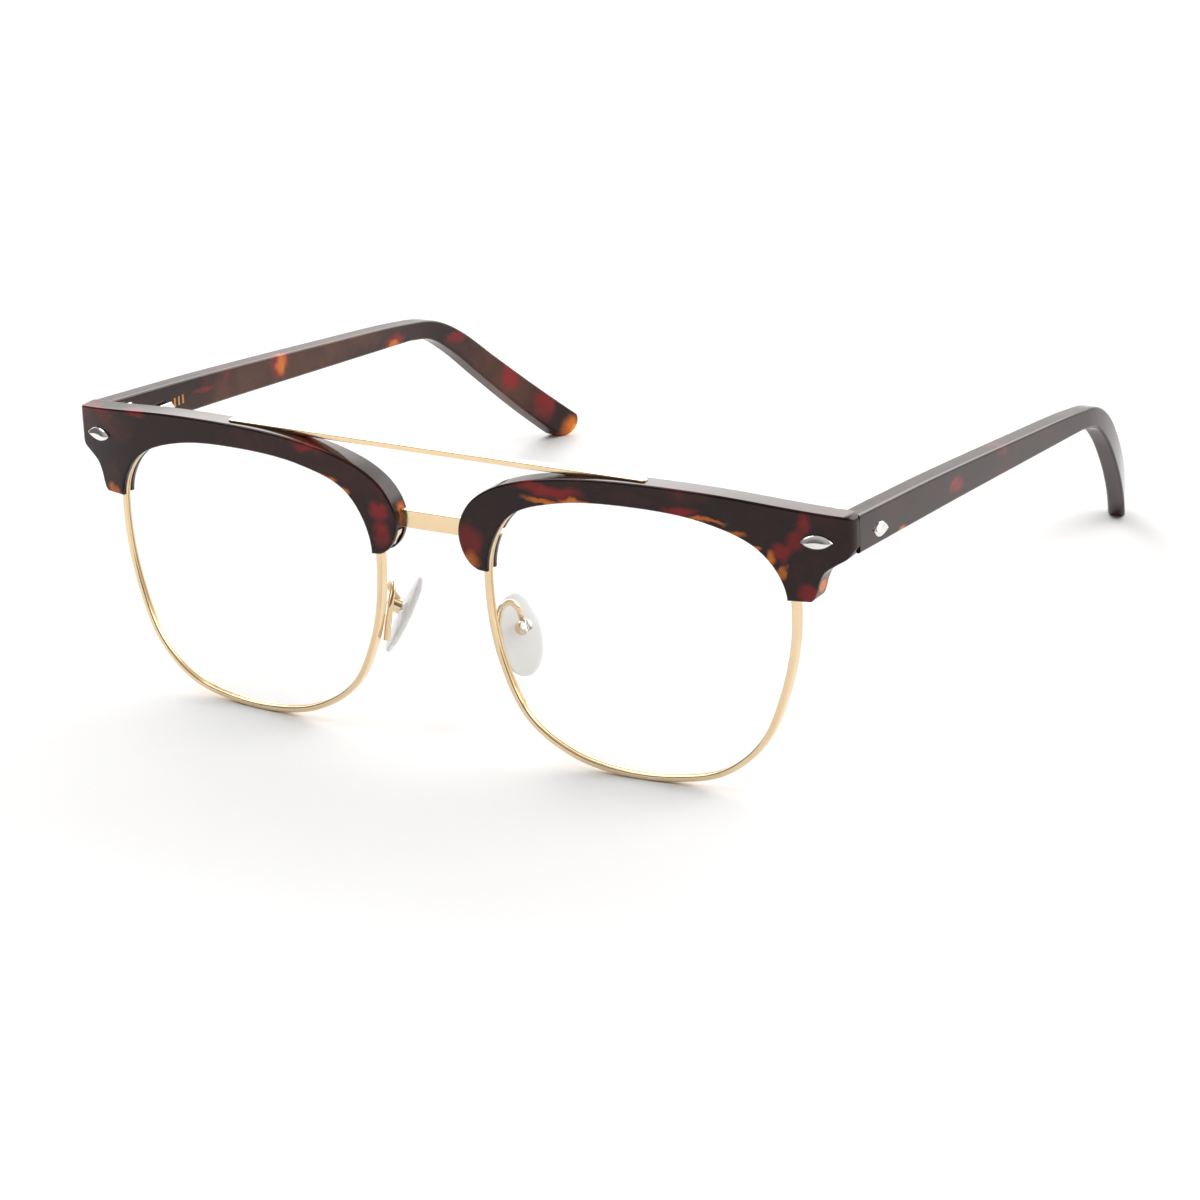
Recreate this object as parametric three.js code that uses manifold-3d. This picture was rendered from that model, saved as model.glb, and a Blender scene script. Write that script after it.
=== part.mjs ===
// Half rim (browline) eyeglasses with a double bridge, in millimetres, +Z up.
//
// The front looks along -Y and is symmetric about the plane X = 0. The wearer's side is +Y.
// "right" pieces lie at +X and "left" pieces at -X, as seen by someone facing the glasses.
// Everything is drawn for the right side first, in the plane of the front, with the height
// datum just below the brows. At the end the whole group is tilted until it rests on the
// bottoms of both rims and both temple tips, and moved until its base is at Z = 0.
import * as THREE from 'three';
import { mergeVertices } from 'three/addons/utils/BufferGeometryUtils.js';
import { TessellateModifier } from 'three/addons/modifiers/TessellateModifier.js';
import Module from 'manifold-3d';

const wasm = await Module();
wasm.setup();

// ---- driving dimensions ----

const GAP = 0.3;                // clearance between neighbouring pieces
const FIT = 0.2;                // clearance round a screw or a rivet in its hole
const OVERLAP = 0.1;            // how far joined shapes run into each other

// face form: the front is flat across the bridge and curves back towards the temples
const FACE_FLAT = 10.6;         // half width of the flat zone
const FACE_CURVE = 0.00141;     // depth per square millimetre beyond the flat zone
const WRAP_START = 58;          // beyond this half width the end pieces wrap back more sharply
const WRAP_CURVE = 0.0076;
const FRONT_FACET = 11;         // longest facet edge on a piece that follows the face form
const TEMPLE_FACET = 20;        // the same on a piece that follows the temple's curl

// visible opening of the right rim, anticlockwise from the temple side
const APERTURE = [
  [62.0, -1.5], [61.3, 6.0], [57.2, 11.4], [48.5, 14.8], [36.0, 15.9], [24.0, 15.0],
  [15.4, 11.9], [11.3, 5.5], [10.7, -3.0], [12.5, -13.2], [17.0, -22.1], [24.5, -27.0],
  [33.0, -28.75], [42.0, -28.5], [50.0, -26.5], [56.2, -21.2], [60.1, -12.2],
];
const APERTURE_STEPS = 52;
const BAND = 1.0;               // eyewire thickness across its loop
const BAND_HALF = 0.95;         // half of the eyewire's depth
const LENS_SEAT = 0.3;          // how far the lens edge reaches into the eyewire
const LENS_HALF = 0.5;          // half of the lens edge's thickness
const TAB_HALF = 0.7;           // half of the depth of the tab that fills the brow's lobe
const TAB = [[10.2, 2.05], [10.6, 6.0], [6.12, 6.0], [6.35, 5.25], [7.42, 3.35], [8.95, 2.2]];

// brows: acetate, grooved underneath so that they sit over the eyewires
const BROW_HALF = 2.0;          // half of the brow's thickness
const BROW_BEVEL = 0.3;
const BROW_LIP = 0.05;          // how far the brow covers the eyewire's inner edge
const GROOVE_HALF = BAND_HALF + 0.25;
const LOBE_AND_TOP = [
  [10.6, 1.8], [8.9, 2.0], [7.3, 3.2], [6.2, 5.2], [5.75, 7.8], [6.4, 10.5], [8.4, 13.4],
  [12.0, 15.9], [17.3, 17.8], [23.0, 18.9], [30.0, 19.6], [39.0, 19.8], [50.0, 19.45],
  [60.0, 18.6], [70.4, 17.3],
];
const CORNER = [70.5, 16.0];    // centre of the rounded upper outer corner
const CORNER_RADIUS = 1.3;
const LEG_OUTSIDE = [
  [71.8, 12.0], [71.0, 10.6], [69.2, 9.4], [67.6, 8.2], [66.8, 6.6], [66.4, 5.0], [66.0, 3.9],
  [65.5, 3.4],
];
const LEG_BOTTOM = 3.4;
const LOBE_BOTTOM = 1.8;
const END_RADIUS = 2.4;         // rounding of the front into the outer end, seen from above
const REAR_NOTCH = { inner: 11.4, outer: 14, low: 7.3, high: 8.6 };

// the oblique joint between the end of the brow and the front end of the temple
const JOINT_INNER = [69.2, 8.3];
const JOINT_OUTER = [72.1, 7.1];

// flat lower bridge and straight top bar
const BRIDGE = { low: 6.45, high: 9.4, front: 0.0, back: 1.0, halfLength: 13.0 };
const BAR = { low: 19.2, high: 20.1, front: 0.3, back: 1.9, halfLength: 38.6 };
const BAR_BEVEL = 0.1;
const PEG_RADIUS = 0.5;         // pegs that hold the bar in the brows
const PEG_LENGTH = 1.8;
const PEG_X = 35.5;

// temples
const TEMPLE_OUTER = 71.9;      // outer face at the front end
const TEMPLE_THICKNESS = 3.4;
const TEMPLE_BEVEL = 0.55;
const TEMPLE_START = 4.6;
const TOE_IN = 0.030;           // inward slope of the temples
const TIP_CURL = 0.0052;        // extra inward curl beyond CURL_START
const CURL_START = 100;
const TEMPLE_TOP = [
  [19.0, 15.7], [36.0, 13.8], [72.0, 9.2], [98.0, 5.6], [107.0, 3.6], [114.0, -0.2],
  [123.0, -7.7], [133.0, -16.5], [141.2, -23.8],
];
const TIP_CENTRE = [138.6, -24.8];
const TIP_RADIUS = 2.8;
const TEMPLE_BOTTOM = [
  [136.4, -26.6], [129.0, -19.8], [120.0, -11.3], [111.8, -3.9], [105.5, 0.3], [99.0, 1.9],
];
const TEMPLE_CENTRE = [
  [12.0, 13.3], [40.0, 10.1], [72.0, 6.6], [98.0, 3.7], [105.6, 2.2], [112.8, -2.0],
  [121.5, -9.4], [131.0, -17.9],
];
const CENTRE_SLOPE = 0.12;      // how the section's middle rises towards the joint
const CORE_RADIUS = 0.5;
const CORE_CHANNEL = 0.95;

// barrel hinges
const HINGE = [66.6, 9.2];      // hinge axis, parallel to Z
const KNUCKLE_RADIUS = 1.35;
const KNUCKLE_BORE = 0.75;
const KNUCKLE_HEIGHT = 0.9;
const KNUCKLE_GAP = 0.12;
const KNUCKLES = 5;
const HINGE_LOW = 10.8;
const SCREW_RADIUS = 0.65;
const SCREW_HEAD = 1.25;
const LEAF = 0.65;              // leaf thickness
const LEAF_BEVEL = 0.1;
const TEMPLE_LEAF = [
  [10.4, 10.95], [24.6, 10.2], [25.3, 11.2], [24.4, 12.3], [17.0, 12.7], [13.5, 15.5],
  [10.4, 15.7],
];

// rivets
const FRONT_RIVET = { x: 66.0, z: 13.25, halfLength: 2.6, halfHeight: 1.3, head: 0.8, shank: 0.8 };
const TEMPLE_RIVET = {
  y: 14.6, z: 12.35, halfLength: 2.2, halfHeight: 1.3, head: 0.8, shank: 0.8, tilt: 0.12,
};
const RIVET_LIFT = 0.35;        // bevel round a rivet's head
const RIVET_CLEAR = 0.08;       // clearance under the head

// nose pads: each pad has its own axes, from its top to its bottom and away from the nose
const PAD_CENTRE = [11.0, 7.2, -11.8];
const PAD_DOWN = new THREE.Vector3(0.34, -0.34, -0.875).normalize();
const PAD_AWAY = new THREE.Vector3(0.724, -0.498, 0.475);
const PAD_LENGTH = 13.6;
const PAD_WIDTH = 7.4;
const PAD_THICKNESS = 1.5;
const PAD_BEVEL = 0.4;
const CUP_RISE = 0.9;           // how far the cup sits above the middle of the pad
const CUP_RADIUS = 1.25;
const CUP_BORE = 0.95;
const CUP_WEB = CUP_BORE * 0.6; // radius of the screw hole through the cup's back wall
const CUP_LOW = PAD_THICKNESS / 2 + 0.45;
const CUP_LENGTH = 1.7;
const CUP_MOUTH = 0.9;          // depth of the cup
const STEM_RADIUS = 0.5;
const STEM_REACH = 0.45;        // how far the pad's stem reaches into the cup
const ARM_RADIUS = 0.5;
const ARM_ROUTE = [
  [11.15, 1.65, -14.2], [10.6, 1.65, -11.0], [10.2, 2.1, -7.9], [10.4, 3.4, -5.6],
  [11.2, 4.6, -5.3], [12.2, 5.1, -6.4],
];
const ARM_FOOT = [[11.15, 1.65, -14.2], [11.0, 1.62, -13.0], [10.6, 1.65, -11.0]];

// rim locks: the screwed barrels that close the eyewires, hidden behind the brow legs
const LOCK = { inner: 63.6, outer: 65.5, low: 5.0, high: 8.4, front: -0.5, back: 1.6 };
const LOCK_SCREW = 0.45;

// screws that hold the brows to the eyewires, from behind
const BROW_SCREW = {
  x: 21.0, z: 16.6, shank: 0.55, length: 2.6, head: 1.0, headLow: 0.15, headHigh: 0.75,
};
const SLOT_DEPTH = 0.2;         // screwdriver slots
const SLOT_HALF = 0.15;

// ---- materials ----

function material(color, roughness, metalness) {
  return () => new THREE.MeshStandardMaterial({ color, roughness, metalness });
}

const acetate = material(0x2a1512, 0.16, 0);
const gold = material(0xe6c592, 0.24, 1);
const steel = material(0xc4c2c0, 0.2, 1);
const clear = material(0xf4f6f6, 0.05, 0);
const silicone = material(0xe9e9e6, 0.3, 0);

// ---- solids ----

// A closed three.js geometry as a manifold solid, and back again.
function solid(geometry) {
  const bare = geometry.index ? geometry.toNonIndexed() : geometry.clone();
  bare.deleteAttribute('normal');
  bare.deleteAttribute('uv');
  const merged = mergeVertices(bare, 1e-4);
  const vertProperties = new Float32Array(merged.attributes.position.array);
  const triVerts = new Uint32Array(merged.index.array);
  return new wasm.Manifold(new wasm.Mesh({ numProp: 3, vertProperties, triVerts }));
}

function toGeometry(body) {
  const mesh = body.getMesh();
  const geometry = new THREE.BufferGeometry();
  geometry.setAttribute('position', new THREE.BufferAttribute(mesh.vertProperties.slice(), 3));
  geometry.setIndex(new THREE.BufferAttribute(mesh.triVerts.slice(), 1));
  return geometry;
}

function faceDepth(x) {
  const curve = FACE_CURVE * Math.max(0, Math.abs(x) - FACE_FLAT) ** 2;
  return curve + WRAP_CURVE * Math.max(0, Math.abs(x) - WRAP_START) ** 2;
}

// How steeply the face form falls away at x, as a slope.
function faceSlope(x) {
  return 2 * FACE_CURVE * Math.max(0, x - FACE_FLAT) + 2 * WRAP_CURVE * Math.max(0, x - WRAP_START);
}

function templeShift(y) {
  return -TOE_IN * (y - TEMPLE_START) - TIP_CURL * Math.max(0, y - CURL_START) ** 2;
}

// Splits edges longer than facet, then moves every vertex with bend(vertex), so that a flat
// piece curves.
function bent(geometry, facet, bend) {
  const loose = geometry.index ? geometry.toNonIndexed() : geometry;
  const fine = new TessellateModifier(facet, 12).modify(loose);
  const position = fine.attributes.position;
  const vertex = new THREE.Vector3();
  for (let i = 0; i < position.count; i += 1) {
    vertex.fromBufferAttribute(position, i);
    bend(vertex);
    position.setXYZ(i, vertex.x, vertex.y, vertex.z);
  }
  return fine;
}

function extruded(shape, depth, bevel) {
  return new THREE.ExtrudeGeometry(shape, {
    depth: depth - 2 * bevel,
    bevelEnabled: bevel > 0,
    bevelThickness: bevel,
    bevelSize: bevel,
    bevelOffset: -bevel,
    bevelSegments: 1,
    curveSegments: 7,
    steps: 1,
  });
}

// A plate in the front's own curved surface: the shape is drawn in X and Z.
function frontPlate(shape, front, back, bevel = 0) {
  const geometry = extruded(shape, back - front, bevel);
  geometry.rotateX(Math.PI / 2);
  geometry.translate(0, back - bevel, 0);
  return solid(bent(geometry, FRONT_FACET, (v) => { v.y += faceDepth(v.x); }));
}

// A plate that stands along the temple: the shape is drawn in Y and Z, from inner to outer X.
function sidePlate(shape, inner, outer, bevel = 0) {
  const geometry = extruded(shape, outer - inner, bevel);
  const turn = new THREE.Matrix4().makeBasis(
    new THREE.Vector3(0, 1, 0), new THREE.Vector3(0, 0, 1), new THREE.Vector3(1, 0, 0));
  geometry.applyMatrix4(turn);
  geometry.translate(inner + bevel, 0, 0);
  return solid(bent(geometry, TEMPLE_FACET, (v) => { v.x += templeShift(v.y); }));
}

function block(low, high) {
  const size = high.map((value, i) => value - low[i]);
  const geometry = new THREE.BoxGeometry(...size);
  geometry.translate(...low.map((value, i) => value + size[i] / 2));
  return solid(geometry);
}

// A turned piece from [radius, height] pairs, standing on from and pointing along direction.
function turned(profile, from, direction, sides = 16) {
  const points = profile.map(([radius, height]) => new THREE.Vector2(radius, height));
  const geometry = new THREE.LatheGeometry(points, sides);
  const aim = new THREE.Vector3(...direction).normalize();
  const turn = new THREE.Quaternion().setFromUnitVectors(new THREE.Vector3(0, 1, 0), aim);
  geometry.applyQuaternion(turn);
  geometry.translate(...from);
  return solid(geometry);
}

function rod(radius, from, to, sides = 16) {
  const axis = new THREE.Vector3(...to).sub(new THREE.Vector3(...from));
  const length = axis.length();
  return turned([[0, 0], [radius, 0], [radius, length], [0, length]], from, axis.toArray(), sides);
}

// A round wire along a smooth route.
function wire(route, radius, sides, steps) {
  const ring = new THREE.EllipseCurve(0, 0, radius, radius).getPoints(sides).slice(0, -1);
  const path = new THREE.CatmullRomCurve3(route.map((p) => new THREE.Vector3(...p)));
  const options = { extrudePath: path, steps, bevelEnabled: false };
  return solid(new THREE.ExtrudeGeometry(new THREE.Shape(ring), options));
}

function mirrored(geometry) {
  const copy = geometry.clone();
  copy.scale(-1, 1, 1);
  const index = copy.index.array;
  for (let i = 0; i < index.length; i += 3) {
    [index[i], index[i + 1]] = [index[i + 1], index[i]];
  }
  return copy;
}

// ---- outlines ----

const vector2 = ([a, b]) => new THREE.Vector2(a, b);

const aperture = new THREE.CatmullRomCurve3(
  APERTURE.map(([x, z]) => new THREE.Vector3(x, z, 0)), true, 'centripetal')
  .getSpacedPoints(APERTURE_STEPS).slice(0, -1).map((p) => new THREE.Vector2(p.x, p.y));

// The opening's outline, grown outwards by distance (or shrunk, if it is negative).
function grown(distance) {
  const count = aperture.length;
  return aperture.map((point, i) => {
    const next = aperture[(i + 1) % count];
    const last = aperture[(i + count - 1) % count];
    const along = next.clone().sub(last).normalize();
    return new THREE.Vector2(point.x + along.y * distance, point.y - along.x * distance);
  });
}

function ringShape(outer, inner) {
  const shape = new THREE.Shape(grown(outer));
  shape.holes.push(new THREE.Path(grown(inner)));
  return shape;
}

function browShape() {
  const lensSide = grown(-BROW_LIP)
    .filter((p) => p.y > (p.x > CORNER[0] / 2 ? LEG_BOTTOM : LOBE_BOTTOM));
  const top = new THREE.SplineCurve(LOBE_AND_TOP.map(vector2)).getPoints(32);
  const corner = new THREE.EllipseCurve(...CORNER, CORNER_RADIUS, CORNER_RADIUS, Math.PI / 2, 0, true);
  const leg = new THREE.SplineCurve(LEG_OUTSIDE.map(vector2)).getPoints(14);
  return new THREE.Shape([...lensSide, ...top, ...corner.getPoints(5), ...leg,
    new THREE.Vector2(lensSide[0].x + 0.05, LEG_BOTTOM)]);
}

function templeShape() {
  const top = new THREE.SplineCurve(TEMPLE_TOP.map(vector2)).getPoints(26);
  const tip = new THREE.EllipseCurve(...TIP_CENTRE, TIP_RADIUS, TIP_RADIUS, 0.05, -2.7, true);
  const bottom = new THREE.SplineCurve(TEMPLE_BOTTOM.map(vector2)).getPoints(14);
  return new THREE.Shape([
    new THREE.Vector2(TEMPLE_START, 17.25), ...top, ...tip.getPoints(8), ...bottom,
    new THREE.Vector2(44, 7.3), new THREE.Vector2(19, 9.6), new THREE.Vector2(TEMPLE_START, 10.9),
  ]);
}

function almondShape(halfLength, halfHeight) {
  const shape = new THREE.Shape();
  shape.moveTo(-halfLength, 0);
  shape.quadraticCurveTo(-halfLength * 0.25, halfHeight * 1.75, halfLength, 0);
  shape.quadraticCurveTo(halfLength * 0.25, -halfHeight * 1.75, -halfLength, 0);
  return shape;
}

// ---- the front ----

function behindJoint(gap) {
  const along = new THREE.Vector2(JOINT_OUTER[0] - JOINT_INNER[0], JOINT_OUTER[1] - JOINT_INNER[1]);
  const geometry = new THREE.BoxGeometry(30, 80, 60);
  geometry.translate(0, 40 + gap, 12);
  geometry.rotateZ(Math.atan2(along.y, along.x));
  geometry.translate(JOINT_INNER[0], JOINT_INNER[1], 0);
  return solid(geometry);
}

// Everything outside the rounding between the brow's front face and its outer end.
function outsideEnd() {
  const outer = CORNER[0] + CORNER_RADIUS;
  const slope = Math.atan(faceSlope(outer - END_RADIUS * 0.7));
  const x = outer - END_RADIUS * (1 - Math.sin(slope));
  const y = faceDepth(x) - BROW_HALF + END_RADIUS * Math.cos(slope);
  const shape = new THREE.Shape();
  shape.moveTo(x, -BROW_HALF);
  shape.absarc(outer - END_RADIUS, y, END_RADIUS, slope - Math.PI / 2, 0, false);
  shape.lineTo(outer + 4, y);
  shape.lineTo(outer + 4, -BROW_HALF);
  const geometry = extruded(shape, 40, 0);
  geometry.translate(0, 0, -10);
  return solid(geometry);
}

function brow() {
  const depth = faceDepth(FRONT_RIVET.x);
  const peg = [PEG_X, barMiddle()];
  const rivet = FRONT_RIVET;
  const cuts = [
    behindJoint(0),
    outsideEnd(),
    block(
      [REAR_NOTCH.inner, GROOVE_HALF - OVERLAP, REAR_NOTCH.low],
      [REAR_NOTCH.outer, BROW_HALF + 1, REAR_NOTCH.high]),
    // the groove for the eyewire, opened out over the flat zone where the lobe hangs down
    frontPlate(ringShape(BAND + GAP, -4), -GROOVE_HALF, GROOVE_HALF),
    block([0, -GROOVE_HALF, 0], [FACE_FLAT, GROOVE_HALF, BRIDGE.low - GAP + OVERLAP]),
    // slots for the lower bridge and the top bar
    block(
      [0, BRIDGE.front - GAP, BRIDGE.low - GAP],
      [BRIDGE.halfLength, BRIDGE.back + GAP, BRIDGE.high + GAP]),
    block(
      [0, BAR.front - GAP, BAR.low - GAP],
      [BAR.halfLength + GAP, BAR.back + GAP, BAR.high + 3]),
    rod(PEG_RADIUS + GAP, [...peg, BAR.low - PEG_LENGTH - GAP], [...peg, BAR.low], 10),
    // holes for the rivet and the retaining screw, and the pocket for the rim lock
    rod(rivet.shank + FIT, [rivet.x, depth - 4, rivet.z], [rivet.x, depth + 4, rivet.z], 12),
    rod(BROW_SCREW.shank + FIT, browScrewSeat(-BROW_SCREW.length - GAP), browScrewSeat(3), 10),
    block(
      [LOCK.inner - GAP, depth + LOCK.front - GAP, LOCK.low - GAP],
      [LOCK.outer + GAP, depth + 6, LOCK.high + GAP]),
  ];
  const blank = frontPlate(browShape(), -BROW_HALF, BROW_HALF, BROW_BEVEL);
  return cuts.reduce((body, cut) => body.subtract(cut), blank);
}

function barMiddle() {
  return (BAR.front + BAR.back) / 2;
}

function browScrewSeat(offset) {
  return [BROW_SCREW.x, faceDepth(BROW_SCREW.x) + BROW_HALF + offset, BROW_SCREW.z];
}

function eyewire() {
  const band = frontPlate(ringShape(BAND, 0), -BAND_HALF, BAND_HALF);
  const groove = frontPlate(ringShape(LENS_SEAT + GAP, -3), -LENS_HALF - FIT, LENS_HALF + FIT);
  const tab = frontPlate(new THREE.Shape(TAB.map(vector2)), -TAB_HALF, TAB_HALF);
  return band.subtract(groove).add(tab);
}

function lens() {
  return frontPlate(new THREE.Shape(grown(LENS_SEAT)), -LENS_HALF, LENS_HALF);
}

function lowerBridge() {
  const strap = block(
    [-BRIDGE.halfLength, BRIDGE.front, BRIDGE.low], [BRIDGE.halfLength, BRIDGE.back, BRIDGE.high]);
  const rightRim = frontPlate(new THREE.Shape(grown(BAND + GAP)), -3, 3);
  const leftRim = solid(mirrored(toGeometry(rightRim)));
  return strap.subtract(rightRim).subtract(leftRim);
}

function topBar() {
  const half = (BAR.back - BAR.front) / 2;
  const straight = BAR.halfLength - half;
  const outline = new THREE.Shape();
  outline.absarc(straight, 0, half, -Math.PI / 2, Math.PI / 2, false);
  outline.absarc(-straight, 0, half, Math.PI / 2, 1.5 * Math.PI, false);
  const strip = extruded(outline, BAR.high - BAR.low, BAR_BEVEL);
  strip.translate(0, barMiddle(), BAR.low + BAR_BEVEL);
  return [-PEG_X, PEG_X]
    .map((x) => [x, barMiddle()])
    .map((peg) => rod(PEG_RADIUS, [...peg, BAR.low - PEG_LENGTH], [...peg, BAR.low + OVERLAP], 10))
    .reduce((body, peg) => body.add(peg), solid(strip));
}

function rimLock() {
  const depth = faceDepth(FRONT_RIVET.x);
  const barrel = block(
    [LOCK.inner, depth + LOCK.front, LOCK.low],
    [LOCK.outer, depth + LOCK.back, LOCK.high]);
  const axis = lockScrewAxis();
  const bore = rod(LOCK_SCREW + 0.1, [...axis, LOCK.low - 1], [...axis, LOCK.high + 1], 10);
  return barrel.subtract(bore);
}

function lockScrewAxis() {
  const middle = faceDepth(FRONT_RIVET.x) + (LOCK.front + LOCK.back) / 2;
  return [(LOCK.inner + LOCK.outer) / 2, middle];
}

function rimScrew() {
  const axis = lockScrewAxis();
  return rod(LOCK_SCREW, [...axis, LOCK.low], [...axis, LOCK.high], 10);
}

function browScrew() {
  const { head, shank, length, headLow, headHigh } = BROW_SCREW;
  const body = rod(shank, browScrewSeat(-length), browScrewSeat(headLow + OVERLAP), 10);
  const cap = rod(head, browScrewSeat(headLow), browScrewSeat(headHigh), 14);
  const [x, y, z] = browScrewSeat(headHigh - SLOT_DEPTH);
  const slot = block([x - 2, y, z - SLOT_HALF], [x + 2, y + 1, z + SLOT_HALF]);
  return body.add(cap).subtract(slot);
}

function frontRivet() {
  const { x, z, halfLength, halfHeight, head, shank } = FRONT_RIVET;
  const face = faceDepth(x) - BROW_HALF;
  const dome = extruded(almondShape(halfLength, halfHeight), head, RIVET_LIFT);
  dome.rotateX(Math.PI / 2);
  dome.rotateZ(Math.atan(faceSlope(x)));
  dome.translate(x, face - RIVET_LIFT - RIVET_CLEAR, z);
  const stem = rod(shank, [x, face - RIVET_LIFT, z], [x, face + 2 * BROW_HALF - 0.6, z], 12);
  return solid(dome).add(stem);
}

// ---- hinges ----

function knuckleLevels(first) {
  const levels = [];
  for (let i = first; i < KNUCKLES; i += 2) {
    levels.push(HINGE_LOW + i * (KNUCKLE_HEIGHT + KNUCKLE_GAP));
  }
  return levels;
}

// One knuckle and the arm that joins it to its leaf: [low x, low y, high x, high y] of the arm,
// counted from the hinge axis.
function knuckle(low, arm) {
  const [x, y] = HINGE;
  const high = low + KNUCKLE_HEIGHT;
  const barrel = rod(KNUCKLE_RADIUS, [x, y, low], [x, y, high], 16);
  return barrel.add(block([x + arm[0], y + arm[1], low], [x + arm[2], y + arm[3], high]));
}

function hinge(leaf, arm, first) {
  const [x, y] = HINGE;
  const bodies = knuckleLevels(first).map((low) => knuckle(low, arm));
  const bore = rod(KNUCKLE_BORE, [x, y, HINGE_LOW - 1], [x, y, hingeTop() + 1], 16);
  return bodies.reduce((body, piece) => body.add(piece), leaf).subtract(bore);
}

function hingeTop() {
  return HINGE_LOW + KNUCKLES * KNUCKLE_HEIGHT + (KNUCKLES - 1) * KNUCKLE_GAP;
}

function frontHinge() {
  const [inner, outer] = [HINGE[0] - 6, HINGE[0] - 0.2];
  const plate = new THREE.Shape([
    [inner, HINGE_LOW], [outer, HINGE_LOW], [outer, hingeTop()], [inner, hingeTop()],
  ].map(vector2));
  const leaf = frontPlate(plate, BROW_HALF + GAP, BROW_HALF + GAP + LEAF, LEAF_BEVEL);
  return hinge(leaf, [-1.3, -1.85, 0.1, 0], 0);
}

function templeHinge() {
  const plate = new THREE.Shape(TEMPLE_LEAF.map(vector2));
  const outer = TEMPLE_OUTER - TEMPLE_THICKNESS - GAP;
  const leaf = sidePlate(plate, outer - LEAF, outer, LEAF_BEVEL);
  return hinge(leaf, [0.6, 0, 1.25, 2.2], 1);
}

function hingeScrew() {
  const [x, y] = HINGE;
  const top = hingeTop() + 0.1;
  const shank = rod(SCREW_RADIUS, [x, y, HINGE_LOW - 0.2], [x, y, top + OVERLAP], 14);
  const profile = [
    [0, 0], [SCREW_HEAD, 0], [SCREW_HEAD, 0.35], [SCREW_HEAD * 0.75, 0.6], [0, 0.6],
  ];
  const head = turned(profile, [x, y, top], [0, 0, 1], 16);
  const slot = block(
    [x - 2, y - SLOT_HALF, top + 0.6 - SLOT_DEPTH], [x + 2, y + SLOT_HALF, top + 2]);
  return shank.add(head).subtract(slot);
}

// ---- temples ----

function templeCentre(y) {
  return TEMPLE_OUTER - TEMPLE_THICKNESS / 2 + templeShift(y);
}

// The middle of the temple's section, from start to just before end along the temple.
function coreRoute(start, end) {
  const first = [start, TEMPLE_CENTRE[0][1] + (TEMPLE_CENTRE[0][0] - start) * CENTRE_SLOPE];
  return [first, ...TEMPLE_CENTRE.filter(([y]) => y > start && y < end)]
    .map(([y, z]) => [templeCentre(y), y, z]);
}

function temple() {
  const blank = sidePlate(templeShape(), TEMPLE_OUTER - TEMPLE_THICKNESS, TEMPLE_OUTER, TEMPLE_BEVEL);
  const front = block([60, -20, -5], [80, 13, 30]).subtract(behindJoint(GAP));
  const { y, z, shank } = TEMPLE_RIVET;
  const rivetHole = rod(shank + FIT, [60, y, z], [80, y, z], 12);
  const channel = wire(coreRoute(2, 200), CORE_CHANNEL, 8, 22);
  return blank.subtract(front).subtract(rivetHole).subtract(channel);
}

function templeCore() {
  return wire(coreRoute(TEMPLE_RIVET.y + TEMPLE_RIVET.shank + 0.6, 128), CORE_RADIUS, 8, 20);
}

function templeRivet() {
  const { y, z, halfLength, halfHeight, head, shank } = TEMPLE_RIVET;
  const face = TEMPLE_OUTER + templeShift(y);
  const dome = extruded(almondShape(halfLength, halfHeight), head, RIVET_LIFT);
  dome.applyMatrix4(new THREE.Matrix4().makeBasis(
    new THREE.Vector3(0, 1, 0), new THREE.Vector3(0, 0, 1), new THREE.Vector3(1, 0, 0)));
  dome.rotateX(-TEMPLE_RIVET.tilt);
  dome.translate(face + RIVET_LIFT + RIVET_CLEAR, y, z);
  const stem = rod(shank, [face - TEMPLE_THICKNESS + 0.3, y, z], [face + RIVET_LIFT, y, z], 12);
  return solid(dome).add(stem);
}

// ---- nose pads ----

// The pad's own axes: across it and away from the nose, both square to PAD_DOWN.
function padAxes() {
  const away = PAD_AWAY.clone();
  away.addScaledVector(PAD_DOWN, -away.dot(PAD_DOWN)).normalize();
  const across = new THREE.Vector3().crossVectors(away, PAD_DOWN).normalize();
  return { across, away };
}

function padPoint(down, away) {
  return new THREE.Vector3(...PAD_CENTRE)
    .addScaledVector(PAD_DOWN, down)
    .addScaledVector(padAxes().away, away)
    .toArray();
}

// A round bar on the cup's axis, between two distances from the pad's middle plane.
function cupRod(radius, low, high, sides = 14) {
  return rod(radius, padPoint(-CUP_RISE, low), padPoint(-CUP_RISE, high), sides);
}

function nosePad() {
  const outline = new THREE.Shape();
  outline.absellipse(0, 0, PAD_LENGTH / 2, PAD_WIDTH / 2, 0, 2 * Math.PI, false, 0);
  const plate = new THREE.ExtrudeGeometry(outline, {
    depth: PAD_THICKNESS - 2 * PAD_BEVEL,
    bevelThickness: PAD_BEVEL,
    bevelSize: PAD_BEVEL,
    bevelOffset: -PAD_BEVEL,
    bevelSegments: 1,
    curveSegments: 16,
  });
  const { across, away } = padAxes();
  plate.translate(0, 0, PAD_BEVEL - PAD_THICKNESS / 2);
  plate.applyMatrix4(new THREE.Matrix4().makeBasis(PAD_DOWN, across, away));
  plate.translate(...PAD_CENTRE);
  return solid(plate).add(cupRod(STEM_RADIUS, 0, CUP_LOW + STEM_REACH, 10));
}

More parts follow.
